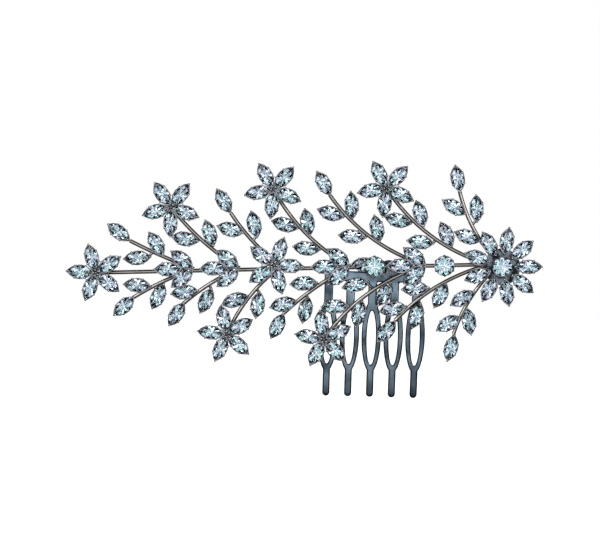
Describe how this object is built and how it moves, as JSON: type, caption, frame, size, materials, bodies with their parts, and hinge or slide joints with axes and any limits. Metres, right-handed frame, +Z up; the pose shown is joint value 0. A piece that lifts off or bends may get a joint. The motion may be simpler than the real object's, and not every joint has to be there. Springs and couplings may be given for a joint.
{
  "type": "decorative hair comb",
  "caption": "Hair comb with looped metal teeth under a wide leafy spray of claw-set pointed crystals, with small star flowers and a large flower at its right end",
  "frame": {"origin": "centre of the comb's bar, where the comb enters the hair", "axes": "+X along the spray of stones, +Z up as worn with the teeth pointing to -Z, the stones face -Y and the head is on the +Y side"},
  "size_m": [0.1294, 0.0127, 0.0644],
  "materials": {
    "bright_metal": "polished rhodium-coloured plating on brass",
    "comb_metal": "satin blue-grey plated sheet",
    "crystal": "clear cut crystal"
  },
  "bodies": {
    "root": {"backplates": "bright_metal", "branch_1_leaf_settings": "bright_metal", "branch_1_leaf_stones": "crystal", "branch_1_wires": "bright_metal", "branch_2_leaf_settings": "bright_metal", "branch_2_leaf_stones": "crystal", "branch_2_wires": "bright_metal", "branch_3_leaf_settings": "bright_metal", "branch_3_leaf_stones": "crystal", "branch_3_wires": "bright_metal", "branch_4_leaf_settings": "bright_metal", "branch_4_leaf_stones": "crystal", "branch_4_wires": "bright_metal", "branch_5_leaf_settings": "bright_metal", "branch_5_leaf_stones": "crystal", "branch_5_wires": "bright_metal", "branch_6_leaf_settings": "bright_metal", "branch_6_leaf_stones": "crystal", "branch_6_wires": "bright_metal", "branch_7_leaf_settings": "bright_metal", "branch_7_leaf_stones": "crystal", "branch_7_wires": "bright_metal", "comb": "comb_metal", "large_flower_centre_setting": "bright_metal", "large_flower_centre_stone": "crystal", "large_flower_settings": "bright_metal", "large_flower_stones": "crystal", "mounting_lugs": "bright_metal", "round_1_setting": "bright_metal", "round_1_stone": "crystal", "round_2_setting": "bright_metal", "round_2_stone": "crystal", "small_flower_1_settings": "bright_metal", "small_flower_1_stones": "crystal", "small_flower_2_settings": "bright_metal", "small_flower_2_stones": "crystal", "small_flower_3_settings": "bright_metal", "small_flower_3_stones": "crystal", "small_flower_4_settings": "bright_metal", "small_flower_4_stones": "crystal", "small_flower_5_settings": "bright_metal", "small_flower_5_stones": "crystal", "small_flower_6_settings": "bright_metal", "small_flower_6_stones": "crystal", "small_flower_7_settings": "bright_metal", "small_flower_7_stones": "crystal", "spine_leaf_setting": "bright_metal", "spine_leaf_stone": "crystal", "spine_wire": "bright_metal", "trio_1_settings": "bright_metal", "trio_1_stones": "crystal", "trio_2_settings": "bright_metal", "trio_2_stones": "crystal", "trio_3_settings": "bright_metal", "trio_3_stones": "crystal", "trio_4_settings": "bright_metal", "trio_4_stones": "crystal"}
  },
  "joints": []
}
